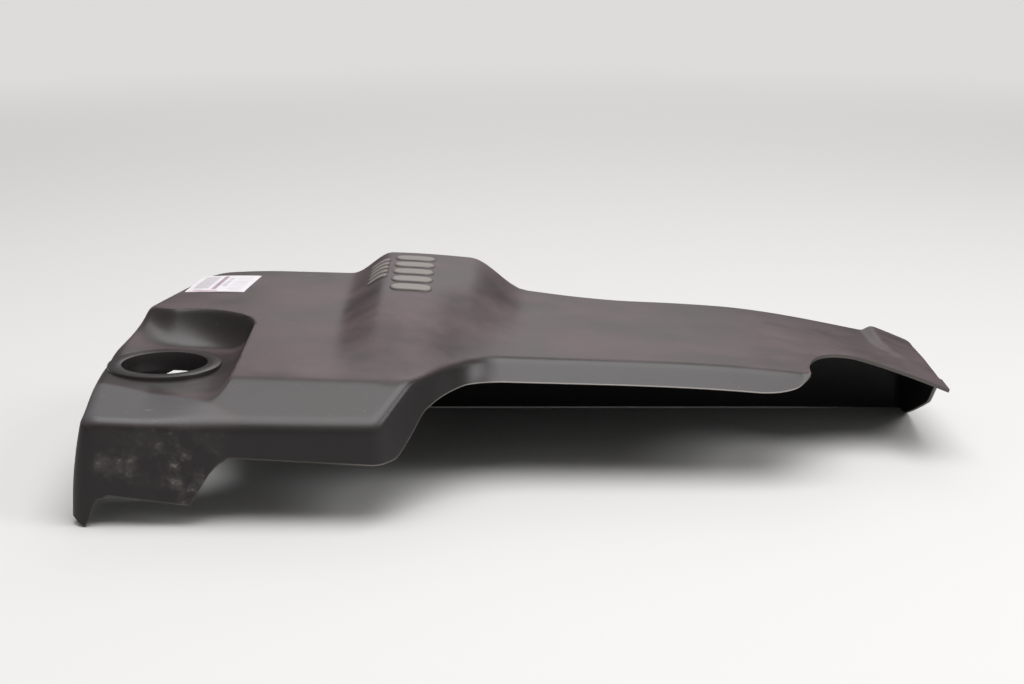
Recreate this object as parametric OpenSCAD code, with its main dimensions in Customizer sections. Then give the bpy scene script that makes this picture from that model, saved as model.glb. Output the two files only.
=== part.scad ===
// Moulded engine cover: one thin shell with a wide front block, a scooped filler pocket,
// a raised centre pad and a long tongue that ends in an arch and a tip.
// Millimetres. X runs from the filler end to the tongue's tip, Z is up, the cover rests on Z = 0.

/* [Overall] */
// Overall length
cover_l = 620; // [540:1:744]
// Overall depth, from the near skirt to the far wall
cover_w = 294; // [245:1:353]
// Wall thickness of the moulding
wall = 2.6; // [2:0.1:3.5]
// Radius where the top turns into the walls
edge_r = 7; // [5:0.5:9]

/* [Front block] */
// Length of the front block along its near skirt
block_l = 209; // [174:1:250]
// Height of the near crease between plateau and shoulder
crease_h = 91; // [84:1:98]
// Width of the sloping shoulder
shoulder_w = 40; // [30:1:48]
// Drop of the sloping shoulder
shoulder_drop = 25; // [18:1:30]
// Rise of the plateau from the near crease to the far edge
crown_rise = 17; // [8:1:20]
// Height of the near skirt's lower edge
skirt_gap = 46; // [38:1:52]
// Height of the lower edge of the panel beside the leg
panel_gap = 18; // [12:1:24]

/* [Centre pad] */
// Height of the raised pad above the plateau
pad_h = 21; // [12:1:27]
// Width of the pad between the feet of its flanks
pad_w = 146; // [120:1:176]

/* [Filler pocket] */
// Height of the pocket's floor
floor_h = 85; // [80:1:88]
// Radius of the filler hole
filler_r = 30.5; // [24:0.5:36]
// Width of the flat ring round the filler hole
ring_w = 10; // [6:0.5:11]
// Height of the ring above the pocket's floor
ring_h = 2.6; // [1.5:0.1:4]
// Depth of the collar below the ring's face
collar_h = 14; // [9:1:20]

/* [Tongue] */
// Depth of the tongue, from its near crease to the far edge
tongue_w = 180; // [150:1:200]
// Drop of the leaning flange on the tongue's near side
flange_drop = 15.5; // [10:0.5:20]
// How far the tongue falls towards its end
tongue_fall = 25; // [18:1:30]
// Length of the arch cut-out before the tip
arch_l = 104; // [87:1:125]
// Depth of the arch cut-out
arch_d = 74; // [55:1:88]

/* [Underside] */
// Depth of the stiffening ribs
rib_h = 7; // [4:1:10]
// Thickness of the stiffening ribs
rib_t = 1.8; // [1.4:0.1:2.4]
// Outer radius of a fixing socket
socket_r = 12.5; // [11:0.5:15]
// Length of a fixing socket below the top surface
socket_l = 27; // [22:1:32]
// Outer radius of the grommet's body
grommet_r = 9.5; // [8:0.5:10.5]
// Radius of the stud hole in the grommet
stud_r = 5; // [3:0.5:6]
// Gap between a grommet and its socket
grommet_fit = 0.15; // [0.05:0.05:0.3]

/* [Label] */
// Width of the paper stock label
label_w = 47; // [35:1:60]
// Depth of the paper stock label
label_d = 52; // [35:1:60]
// Thickness of the label
label_t = 0.4; // [0.3:0.1:0.6]

/* [Hidden] */
EPS = 0.01;

x_left = -cover_l / 2;
x_right = cover_l / 2;
y_near = -cover_w / 2;
y_far = cover_w / 2;
left_lean = 12;
near_lean = 3;
far_lean = 9;
end_lean = 2;
lean_span = 85;

left_x = x_left + left_lean;
corner_r = 10;
far_corner_r = 18;
end_corner_r = 8;
bare_inset = 2.5;
end_x = x_right;
block_y = y_near + near_lean;
far_y = y_far - far_lean;
crease_y = block_y + shoulder_w;
tongue_y = far_y - tongue_w;
block_x = x_left + block_l;
slant_k = 1.57;
tongue_x = block_x + (tongue_y - block_y) / slant_k;
arch_x = end_x - arch_l;
arch_top_x = arch_x + 0.41 * arch_l;
left_far_x = left_x + 46;
fall_x = tongue_x + 58;

filler_x = x_left + 50;
filler_y = crease_y + 62;
pocket_x = filler_x - 4;
pocket_y = filler_y + 36;
pocket_rx = 59;
pocket_ry = 43;
pocket_h = 22;
pad_x0 = block_x - 46;
pad_x1 = pad_x0 + pad_w;
pad_flank = 44;

SOCKETS = [[x_left + 122, far_y - 52], [block_x - 30, crease_y + 40], [tongue_x + 66, far_y - 84],
    [arch_x - 40, far_y - 84]];
RIB_Y = [tongue_y + 45, tongue_y + 96, tongue_y + 140];
BLOCK_RIB_Y = [crease_y + 90, crease_y + 150];
LABEL = [x_left + 71, far_y - 41];

function clamp01(t) = min(1, max(0, t));
function smooth(a, b, t) = let (s = clamp01((t - a) / (b - a))) s * s * (3 - 2 * s);
function mix(a, b, t) = a + (b - a) * t;
function unit(v) = v / max(EPS * EPS, norm(v));
function span(a, b, n) = [for (i = [0:n - 1]) a + (b - a) * i / n];
// The lower of two heights, with a join rounded over k
function soft_min(a, b, k) = let (h = clamp01(0.5 + 0.5 * (b - a) / k)) mix(b, a, h) - k * h * (1 - h);
// How far a rounded corner of radius r pulls an outline in, at distance d from its end
function corner(d, r) = d >= r ? 0 : r - sqrt(max(0, r * r - (r - max(d, 0)) * (r - max(d, 0))));

// Outline of the top in plan
function arch(x) = x <= arch_x ? 0
    : x < arch_top_x ? sqrt(1 - pow((arch_top_x - x) / (arch_top_x - arch_x), 2))
    : 1 - 0.53 * pow((x - arch_top_x) / (end_x - arch_top_x), 1.2);
function slant_y(x) = block_y + (x - block_x) * slant_k;
function near_y(x) = soft_min(tongue_y, -soft_min(-slant_y(x), -block_y, 9), 30)
    + arch_d * arch(x) + corner(x - left_x, corner_r);
function far_y_at(x) = far_y - corner(x - left_far_x, far_corner_r) - corner(end_x - x, end_corner_r);
function left_x_at(y) = left_x - 5 * smooth(block_y, filler_y, y) * (1 - smooth(filler_y, far_y, y))
    + (left_far_x - left_x) * pow(clamp01((y - filler_y - 36) / (far_y - filler_y - 44)), 1.1)
    + corner(y - block_y, corner_r) + corner(far_y - y, far_corner_r);
function end_x_at(y) = end_x - corner(far_y - y, end_corner_r);

// Height of the top
function crease_z(x) = crease_h - 0.027 * x - tongue_fall * pow(max(0, x - fall_x) / (end_x - fall_x), 3);
function crown_y(x) = max(near_y(min(x, arch_x)), crease_y);
function plateau(x, y) = let (t = clamp01((y - crown_y(x)) / (far_y - crown_y(x))))
    crease_z(x) + (crown_rise * (1 - smooth(pad_x0 + 16, pad_x1 + 90, x))
    + 3.3 * (1 - smooth(arch_x - 52, arch_top_x + 15, x))) * t * (2 - t)
    - 3.5 * pow(max(0, pad_x0 - 50 - x) / 60, 2) * t;
function pad(x, y) = pad_h * mix(0.92, 1.1, (x - pad_x0) / pad_w) * smooth(crease_y - 6, crease_y + 128, y)
    * (smooth(pad_x0, pad_x0 + pad_flank, x) - smooth(pad_x1 - pad_flank, pad_x1, x));
function shoulder(x, y) = crease_h + 5 - shoulder_drop + 7 * pow(max(0, block_x - x) / 183, 2)
    + (y - block_y) * shoulder_drop / shoulder_w;
function pocket(x, y) = let (dx = max(0, x - pocket_x) / pocket_rx, dy = max(0, y - pocket_y) / pocket_ry,
    r = max(EPS, norm([dx, dy]))) floor_h + pocket_h * pow(r, 3 + 3 * dx * dx / (r * r));
function facet(x, y) = let (far = clamp01((y - 8) / 78), s = x - (end_x - 40 * far))
    5 * smooth(0, 6, s) * clamp01((end_x - x) / 32) * far;
function top_z(x, y) = facet(x, y)
    + soft_min(soft_min(plateau(x, y) + pad(x, y), shoulder(x, y), 3), pocket(x, y), 3);
function top_normal(x, y) = unit([top_z(x - 0.5, y) - top_z(x + 0.5, y),
    top_z(x, y - 0.5) - top_z(x, y + 0.5), 1]);

// Lower edges of the walls, seen from the side
function near_low(x) = x < block_x ? lookup(x - left_x, [[3, 4], [5.5, 0], [7, 0], [9, panel_gap + 1], [14, panel_gap + 4],
        [68, panel_gap - 3], [70, panel_gap - 2], [82, skirt_gap - 10], [88, skirt_gap - 3],
        [96, skirt_gap + 2], [block_l - left_lean, skirt_gap - 2]])
    : x < arch_x - 40 ? mix(skirt_gap - 2, crease_z(x) - flange_drop,
        lookup((x - block_x) / (tongue_x - block_x), [[0.16, 0], [0.32, 0.38], [0.42, 0.69],
        [0.47, 0.75], [0.65, 0.91], [0.8, 1]]))
    : crease_z(x) - flange_drop * sqrt(max(0, 1 - pow((x - arch_x + 40) / 40, 2)));
function left_low(y) = (5 + 43 * smooth(crease_y + 40, crease_y + 140, y))
    * (1 - smooth(far_y - 30, far_y - 14, y));
function far_low(x) = 42 * smooth(left_far_x + 20, left_far_x + 45, x) * (1 - smooth(block_x - 60, block_x, x))
    + 4 * smooth(left_far_x, block_x, x) * (1 - smooth(arch_x, end_x - 20, x));
function end_low(y) = crease_z(end_x) * pow(1 - clamp01((y - near_y(end_x)) / (far_y - 8 - near_y(end_x))), 1.1);

// How far a wall stands out below the top, at height z
function near_out(x, z, top) = mix(near_lean * (1 - z / 75), 0.9 * (top - z),
    smooth(tongue_x - 30, tongue_x + 12, x));
function left_out(z) = left_lean * (1 - pow(clamp01(z / lean_span), 2));
function far_out(z) = far_lean * (1 - clamp01(z / 110));
function end_out(z) = -end_lean * (1 - clamp01(z / 60));

// Stations along the cover and rows across it, closer where the form turns
stations = concat([for (d = [2.9, 4, 5.5, 7, 9, 14]) left_x + d], span(left_x + 20, left_x + 68, 6),
    [for (d = [68, 70, 76, 82, 88, 92]) left_x + d], span(left_x + 96, block_x - 10, 5),
    span(block_x - 10, tongue_x + 12, 11), span(tongue_x + 12, arch_x - 40, 6), span(arch_x - 40, arch_x, 4),
    [for (a = [0, 27, 45, 63, 81]) arch_top_x - (arch_top_x - arch_x) * cos(a)],
    span(arch_top_x, end_x - 13, 6), [end_x - 13, end_x - 0.293 * end_corner_r]);
rows = concat([0, 0.05, 0.1, 0.13, 0.155], span(0.18, 0.5, 5), span(0.5, 0.68, 5), span(0.68, 0.98, 4), [1]);
NX = len(stations) - 1;
NY = len(rows) - 1;
FILLET = [0.35, 0.7, 1];
DEPTH = [0.5, 1];
NK = len(FILLET) + len(DEPTH);

left_y0 = near_y(stations[0]);
left_y1 = far_y - 0.293 * far_corner_r;
end_y0 = near_y(end_x);
end_y1 = far_y - 0.293 * end_corner_r;
// The outline as a loop of [x, y, side], with side 0 near, 1 end, 2 far and 3 left
outline = concat(
    [for (i = [0:NX]) [stations[i], near_y(stations[i]), 0]],
    [for (j = [1:NY]) let (y = mix(end_y0, end_y1, rows[j])) [end_x_at(y), y, 1]],
    [for (i = [NX - 1:-1:0]) let (x = mix(left_x_at(left_y1), end_x, (stations[i] - stations[0])
        / (stations[NX] - stations[0]))) [x, far_y_at(x), 2]],
    [for (j = [NY - 1:-1:1]) let (y = mix(left_y0, left_y1, rows[j])) [left_x_at(y), y, 3]]);
NP = len(outline);
function step(p) = let (a = outline[p % NP], b = outline[(p + 1) % NP]) [b[0] - a[0], b[1] - a[1]];
// The outward direction, from the parabola through a point and its two neighbours, or their chord at a sharp turn
function out_dir(p) = let (a = step(p + NP - 1), b = step(p), gentle = unit(a) * unit(b) > 0.5,
    d = unit(gentle ? unit(a) * norm(b) + unit(b) * norm(a) : a + b)) [d[1], -d[0]];
function wall_low(p) = let (o = outline[p]) o[2] == 0 ? near_low(o[0]) : o[2] == 1 ? end_low(o[1])
    : o[2] == 2 ? far_low(o[0]) : left_low(o[1]);
function wall_out(p, z, top, n) = let (o = outline[p], rounded = o[2] == 3
    || o[2] == 0 && o[0] < left_x + corner_r || o[2] == 2 && o[0] < left_far_x + far_corner_r)
    rounded ? [-min(left_out(z), (o[0] - x_left) * left_out(z) / left_lean) * sqrt(max(0, -n[0])),
        n[1] < 0 ? -near_out(left_x, z, top) * sqrt(-n[1]) : far_out(z) * sqrt(n[1])]
    : n * (o[2] == 0 ? near_out(o[0], z, top) : o[2] == 1 ? end_out(z) : far_out(z));
// Each outline point as [x, y, outward x, outward y, top, low, share of a full wall]
edge = [for (p = [0:NP - 1]) let (o = outline[p], n = out_dir(p), top = top_z(o[0], o[1]),
    low = min(wall_low(p), top)) [o[0], o[1], n[0], n[1], top, low, smooth(1, 10, top - low)]];
function inset(p, d) = [edge[p][0] - edge[p][2] * d, edge[p][1] - edge[p][3] * d];
function rim(p) = inset(p, mix(bare_inset, edge_r, edge[p][6]));

// The top is blended between its four sides
function side_near(i) = rim(i);
function side_end(j) = rim(NX + j);
function side_far(i) = rim(2 * NX + NY - i);
function side_left(j) = j == 0 ? rim(0) : j == NY ? rim(2 * NX + NY) : rim(2 * NX + 2 * NY - j);
function plan(i, j) = let (w = rows[j], u = (stations[i] - stations[0]) / (stations[NX] - stations[0]),
    a = mix(side_near(i), side_far(i), w), l = side_left(j) - mix(side_left(0), side_left(NY), w),
    r = side_end(j) - mix(side_end(0), side_end(NY), w)) a + l * pow(1 - u, 6) + r * pow(u, 12);
top_points = [for (i = [0:NX]) for (j = [0:NY]) let (c = plan(i, j)) [c[0], c[1], top_z(c[0], c[1])]];
top_normals = [for (c = top_points) top_normal(c[0], c[1])];

// A wall row is [outward vector, height]: a rounded turn from the top, then down the leaning wall.
// Where there is no wall, the rows run out along the top to its edge.
function wall_row(p, k) = let (e = edge[p], full = e[6], n = [e[2], e[3]], r = rim(p),
    a = concat(-mix(bare_inset, edge_r, full) * n, top_z(r[0], r[1])), c = [0, 0, e[4]],
    drop = min(edge_r, (e[4] - e[5]) * 0.6), b = concat(wall_out(p, e[4] - drop, e[4], n), e[4] - drop),
    t = k < len(FILLET) ? FILLET[k] : 1, s = k < len(FILLET) ? 0 : DEPTH[k - len(FILLET)],
    z = mix(e[4] - drop, e[5], s),
    turn = s == 0 ? a * (1 - t) * (1 - t) + c * 2 * t * (1 - t) + b * t * t : concat(wall_out(p, z, e[4], n), z))
    mix(mix(a, c, (k + 1) / NK), turn, full);
function wall_point(p, k) = let (v = wall_row(p, k)) [edge[p][0] + v[0], edge[p][1] + v[1], v[2]];
function wall_tangent(p, k) = wall_point(p, min(k + 1, NK - 1))
    - (k == 0 ? concat(rim(p), top_z(rim(p)[0], rim(p)[1])) : wall_point(p, k - 1));
function wall_normal(p, k) = let (e = edge[p], t = wall_tangent(p, k), along = [-e[3], e[2], 0],
    n = unit(mix(top_normal(e[0], e[1]), unit(cross(t, along)), e[6])))
    k < NK - 1 ? n : unit([n[0], n[1], n[2] * (1 - e[6])]);
wall_points = [for (p = [0:NP - 1]) for (k = [0:NK - 1]) wall_point(p, k)];
wall_normals = [for (p = [0:NP - 1]) for (k = [0:NK - 1]) wall_normal(p, k)];

outer = concat(top_points, wall_points);
inner = [for (i = [0:len(outer) - 1]) outer[i] - wall * concat(top_normals, wall_normals)[i]];

function top_id(i, j) = i * (NY + 1) + j;
function loop_id(p) = p <= NX ? top_id(p, 0) : p <= NX + NY ? top_id(NX, p - NX)
    : p <= 2 * NX + NY ? top_id(2 * NX + NY - p, NY) : top_id(0, 2 * NX + 2 * NY - p);
function wall_id(p, k) = k < 0 ? loop_id(p % NP) : len(top_points) + (p % NP) * NK + k;
function flip(f, n) = [for (q = f) [n + q[2], n + q[1], n + q[0]]];
function two(a, b, c, d) = [[a, b, c], [a, c, d]];
skin = concat(
    [for (i = [0:NX - 1]) for (j = [0:NY - 1])
        each two(top_id(i, j), top_id(i, j + 1), top_id(i + 1, j + 1), top_id(i + 1, j))],
    [for (p = [0:NP - 1]) for (k = [-1:NK - 2])
        each two(wall_id(p, k), wall_id(p + 1, k), wall_id(p + 1, k + 1), wall_id(p, k + 1))]);
lip = [for (p = [0:NP - 1]) each two(wall_id(p, NK - 1), wall_id(p + 1, NK - 1),
    len(outer) + wall_id(p + 1, NK - 1), len(outer) + wall_id(p, NK - 1))];

module shell() {
    polyhedron(concat(outer, inner), concat(skin, flip(skin, len(outer)), lip));
}

// A stiffening rib under the top from plan point a to b, its upper edge buried in the wall
module rib(a, b, depth) {
    n = ceil(norm(b - a) / 14);
    side = unit([a[1] - b[1], b[0] - a[0]]) * rib_t / 2;
    points = [for (i = [0:n]) let (c = mix(a, b, i / n), d = depth * (i == 0 || i == n ? 0.3 : 1))
        each [for (v = [[1, wall * 0.5], [-1, wall * 0.5], [-1, wall + d], [1, wall + d]])
            let (q = c + side * v[0]) [q[0], q[1], top_z(c[0], c[1]) - v[1]]]];
    faces = [for (i = [0:n - 1]) for (k = [0:3])
        each two(i * 4 + k, i * 4 + 4 + k, i * 4 + 4 + (k + 1) % 4, i * 4 + (k + 1) % 4)];
    polyhedron(points, concat(faces, [[0, 1, 2, 3], [for (k = [3:-1:0]) n * 4 + k]]));
}

// A fixing socket under the top at plan point c; its upper end follows the wall
module socket(c) {
    n = 32;
    mouth = top_z(c[0], c[1]) - socket_l;
    ring = [for (i = [0:n - 1]) c + socket_r * [cos(i * 360 / n), sin(i * 360 / n)]];
    points = concat([for (q = ring) [q[0], q[1], mouth]],
        [for (q = ring) [q[0], q[1], top_z(q[0], q[1]) - wall * 0.5]],
        [[c[0], c[1], top_z(c[0], c[1]) - wall * 0.5]]);
    faces = [for (i = [0:n - 1]) each concat(two(i, n + i, n + (i + 1) % n, (i + 1) % n),
        [[n + (i + 1) % n, n + i, 2 * n]])];
    polyhedron(points, concat(faces, [[for (i = [0:n - 1]) i]]));
}

// Ring and collar round the filler hole, drawn solid; the hole is cut afterwards
module filler_ring() translate([filler_x, filler_y, 0]) rotate_extrude($fn = 64) polygon([
    [filler_r - 2, floor_h + ring_h - collar_h], [filler_r + wall, floor_h + ring_h - collar_h],
    [filler_r + wall, floor_h - wall / 2], [filler_r + ring_w, floor_h - wall / 2],
    [filler_r + ring_w, floor_h + ring_h], [filler_r - 2, floor_h + ring_h]]);

module cover() color("#2c292a") difference() {
    union() {
        shell();
        union() {
            filler_ring();
            for (c = SOCKETS) socket(c);
            for (y = RIB_Y) rib([tongue_x + 20, y], [arch_x - 8, y], rib_h);
            for (y = BLOCK_RIB_Y) rib([block_x - 86, y], [tongue_x - 10, y], rib_h);
        }
    }
    union() {
        translate([filler_x, filler_y, floor_h - 40]) cylinder(h = 60, r = filler_r, $fn = 96);
        for (c = SOCKETS) translate([c[0], c[1], top_z(c[0], c[1]) - socket_l - 1])
            cylinder(h = socket_l - wall - 2, r = grommet_r + grommet_fit, $fn = 48);
    }
}

// A rubber grommet pushed into socket number i, with a hole and a ball seat for the stud
module grommet(i) {
    c = SOCKETS[i];
    color("#1a1a1b") translate([c[0], c[1], top_z(c[0], c[1]) - socket_l]) rotate_extrude($fn = 48) polygon([
        [stud_r, -2], [socket_r - 1, -2], [socket_r - 1, 0], [grommet_r, 0], [grommet_r, 15], [stud_r + 1.6, 15],
        [stud_r + 1.6, 8.6], [stud_r, 7]]);
}

module stock_label() color("#d9cdd6") {
    n = 8;
    across = [label_w, -0.03 * label_w];
    along = [0.156 * label_d, 0.988 * label_d];
    points = [for (h = [0.1, 0.1 + label_t]) for (i = [0:n]) for (j = [0:n])
        let (c = LABEL + (i / n - 0.5) * across + (j / n - 0.5) * along) [c[0], c[1], top_z(c[0], c[1]) + h]];
    m = (n + 1) * (n + 1);
    quads = [for (i = [0:n - 1]) for (j = [0:n - 1])
        each two(i * (n + 1) + j, i * (n + 1) + j + 1, (i + 1) * (n + 1) + j + 1, (i + 1) * (n + 1) + j)];
    around = concat([for (i = [0:n]) i * (n + 1)], [for (j = [1:n]) n * (n + 1) + j],
        [for (i = [n - 1:-1:0]) i * (n + 1) + n], [for (j = [n - 1:-1:1]) j]);
    k = len(around);
    polyhedron(points, concat(flip(quads, 0), [for (q = quads) q + [m, m, m]], [for (p = [0:k - 1])
        each two(around[p], m + around[p], m + around[(p + 1) % k], around[(p + 1) % k])]));
}

cover();
stock_label();
grommet(0);  // grommet_1
grommet(1);  // grommet_2
grommet(2);  // grommet_3
grommet(3);  // grommet_4
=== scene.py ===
"""Looks of the moulded engine cover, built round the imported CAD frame, in metres."""

import math

import bpy
import numpy as np
from mathutils import Euler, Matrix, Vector


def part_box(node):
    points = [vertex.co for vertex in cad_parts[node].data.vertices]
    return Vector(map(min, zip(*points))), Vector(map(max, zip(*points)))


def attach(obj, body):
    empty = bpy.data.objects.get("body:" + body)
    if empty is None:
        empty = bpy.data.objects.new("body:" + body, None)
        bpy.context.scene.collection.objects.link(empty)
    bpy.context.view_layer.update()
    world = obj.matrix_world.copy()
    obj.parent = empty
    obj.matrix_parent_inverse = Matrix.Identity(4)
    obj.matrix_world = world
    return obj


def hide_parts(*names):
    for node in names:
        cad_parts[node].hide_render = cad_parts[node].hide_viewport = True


bl_info = {
    "name": "Engine Cover",
    "version": (1, 0, 0),
    "blender": (4, 5, 0),
    "location": "View3D > Sidebar > Engine Cover",
    "description": "Moulded engine cover with a scooped filler pocket, raised pad and tongue",
    "category": "Add Mesh",
}

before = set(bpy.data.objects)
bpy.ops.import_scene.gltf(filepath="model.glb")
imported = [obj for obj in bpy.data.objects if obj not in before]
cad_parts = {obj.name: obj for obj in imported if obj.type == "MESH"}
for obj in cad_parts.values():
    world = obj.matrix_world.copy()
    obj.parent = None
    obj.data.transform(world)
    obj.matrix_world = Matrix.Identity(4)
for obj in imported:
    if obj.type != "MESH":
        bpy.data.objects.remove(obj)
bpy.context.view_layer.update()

MM = 1000.0
NEAR, END, FAR, LEFT = range(4)
LABEL_TURN = math.radians(9)
LABEL_LIFT = 0.1
BAR_COUNT = 5
LARGE_BAR, LARGE_PITCH = (32, 14), 21.0
SMALL_BAR, SMALL_PITCH = (16, 8), 11.5
# slant in plan of the far edge of the painted grey sheen on the shoulder's left end
SHEEN_EDGE_SLOPE = 0.473
CAMERA_PLACE = (-0.0119, -1.42235, 0.4546)
CAMERA_TILT = math.radians(75.7)
CAMERA_LENS, CAMERA_SENSOR = 70.3125, 36.0
FLOOR_REACH = 30.0
GROMMETS = sorted(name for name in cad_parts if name.startswith("grommet_"))


def length(name, description, default):
    """A length property in metres from a default in millimetres."""
    return bpy.props.FloatProperty(
        name=name, description=description, default=default / MM, unit="LENGTH", min=0.0, precision=4
    )


def colour(name, description, default):
    """A colour property."""
    return bpy.props.FloatVectorProperty(
        name=name, description=description, default=default, subtype="COLOR", size=3, min=0.0, max=1.0
    )


def share(name, description, default):
    """A property from 0 to 1."""
    return bpy.props.FloatProperty(
        name=name, description=description, default=default, subtype="FACTOR", min=0.0, max=1.0
    )


class EngineCoverSizes(bpy.types.PropertyGroup):
    """Sizes of the moulding, taken from the CAD source and from the photograph."""

    cover_l: length("Overall length", "From the filler end to the tip", 620)
    cover_w: length("Overall depth", "From the near skirt to the far wall", 294)
    wall: length("Wall", "Thickness of the moulding", 2.6)
    edge_r: length("Edge radius", "Radius where the top turns into the walls", 7)
    block_l: length("Block length", "Length of the front block", 209)
    crease_h: length("Crease height", "Height of the near crease", 91)
    shoulder_w: length("Shoulder width", "Width of the sloping shoulder", 40)
    shoulder_drop: length("Shoulder drop", "Drop of the sloping shoulder", 25)
    crown_rise: length("Crown rise", "Rise of the plateau to the far edge", 17)
    skirt_gap: length("Skirt height", "Height of the near skirt's lower edge", 46)
    panel_gap: length("Panel height", "Height of the lower edge beside the leg", 18)
    pad_h: length("Pad height", "Height of the raised pad", 20)
    pad_w: length("Pad width", "Width between the feet of the pad's flanks", 138)
    floor_h: length("Pocket floor", "Height of the pocket's floor", 85)
    filler_r: length("Filler radius", "Radius of the filler hole", 30.5)
    ring_w: length("Ring width", "Width of the flat ring round the hole", 10)
    ring_h: length("Ring height", "Height of the ring above the floor", 2.6)
    collar_h: length("Collar depth", "Depth of the collar below the ring's face", 14)
    tongue_w: length("Tongue depth", "From the tongue's near crease to the far edge", 180)
    flange_drop: length("Flange drop", "Drop of the tongue's leaning flange", 15.5)
    tongue_fall: length("Tongue fall", "How far the tongue falls towards its end", 25)
    arch_l: length("Arch length", "Length of the arch before the tip", 108)
    arch_d: length("Arch depth", "Depth of the arch", 74)
    rib_h: length("Rib depth", "Depth of the stiffening ribs", 7)
    rib_t: length("Rib thickness", "Thickness of the stiffening ribs", 1.8)
    socket_r: length("Socket radius", "Outer radius of a fixing socket", 12.5)
    socket_l: length("Socket length", "Length of a fixing socket", 27)
    grommet_r: length("Grommet radius", "Outer radius of the grommet's body", 9.5)
    grommet_rim: length("Grommet rim", "Thickness of a grommet's rim below its socket", 2)
    grommet_fit: length("Grommet gap", "Gap between a grommet and its socket", 0.15)
    label_w: length("Label width", "Width of the paper label", 47)
    label_d: length("Label depth", "Depth of the paper label", 50)
    label_t: length("Label thickness", "Thickness of the paper label", 0.4)
    bar_h: length("Bar height", "Height of the plain raised bars on the pad", 1.3)


class EngineCoverFinish(bpy.types.PropertyGroup):
    """Colours and wear of the cover, its label and the stage."""

    plastic: colour("Plastic", "Charcoal of the moulding", (0.021, 0.018, 0.018))
    # dust, with painted sheen: the mauve tint of this colour and its lightness on level faces stand in for
    # reflected light
    dust_and_sheen: colour("Dust", "Colour of the dust film", (0.150, 0.103, 0.110))
    # painted sheen: the grey of light falling on the shoulder's left end
    haze: colour("Haze", "Colour of the dry film on the shoulder's left end", (0.125, 0.122, 0.127))
    # pale wear on the skirt, the painted highlights on the lower lip and at the tip, and the pale faces of
    # the bars
    pale_wear_and_highlight: colour("Scuff", "Colour of rubbed and scuffed plastic", (0.33, 0.30, 0.27))
    stain: colour("Stain", "Colour of the oily stain", (0.022, 0.017, 0.017))
    paper: colour("Paper", "Colour of the stock label", (0.66, 0.63, 0.66))
    print_grey: colour("Print", "Colour of the label's fields", (0.13, 0.12, 0.13))
    print_mauve: colour("Band", "Colour of the label's band", (0.20, 0.10, 0.15))
    print_red: colour("Red line", "Colour of the label's foot line", (0.42, 0.10, 0.12))
    rubber: colour("Rubber", "Black of the grommets", (0.014, 0.014, 0.015))
    floor: colour("Floor", "Colour of the floor", (0.61, 0.605, 0.60))
    backdrop: colour("Backdrop", "Colour of the backdrop", (0.72, 0.71, 0.705))
    ambient: share("Ambient", "How bright the backdrop lights the cover", 0.55)
    reflected: share("Reflected", "How bright the backdrop is in reflections", 0.20)
    bounce: share("Floor bounce", "How much light the floor gives back to the cover", 0.55)
    # amount of dust and painted sheen on level faces
    dust_and_sheen_amount: share("Dust amount", "How much dust lies on level faces", 0.46)
    # strength of the painted grey sheen on the shoulder's left end
    front: share("Haze amount", "How strong the film on the shoulder's left end is", 0.55)
    worn: share("Wear amount", "How strong the scuffs are", 0.68)


def mix(a, b, t):
    """A straight blend from a to b."""
    return a + (b - a) * t


def smooth(a, b, t):
    """A cubic step from 0 at a to 1 at b."""
    s = np.clip((t - a) / (b - a), 0.0, 1.0)
    return s * s * (3 - 2 * s)


def soft_min(a, b, k):
    """The lower of two heights, with a join rounded over k."""
    h = np.clip(0.5 + 0.5 * (b - a) / k, 0.0, 1.0)
    return mix(b, a, h) - k * h * (1 - h)


def corner(d, r):
    """How far a rounded corner of radius r pulls an outline in, at distance d from its end."""
    d = np.clip(d, 0.0, r)
    return r - np.sqrt(np.maximum(0.0, r * r - (r - d) ** 2))


def blurred(f, t, reach):
    """The mean of f over t plus and minus reach, which rounds its corners."""
    return np.mean([f(t + reach * o) for o in np.linspace(-1, 1, 9)], axis=0)


def unit(v):
    """Vectors along the last axis made of length 1."""
    return v / np.maximum(np.linalg.norm(v, axis=-1, keepdims=True), 1e-9)


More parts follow.
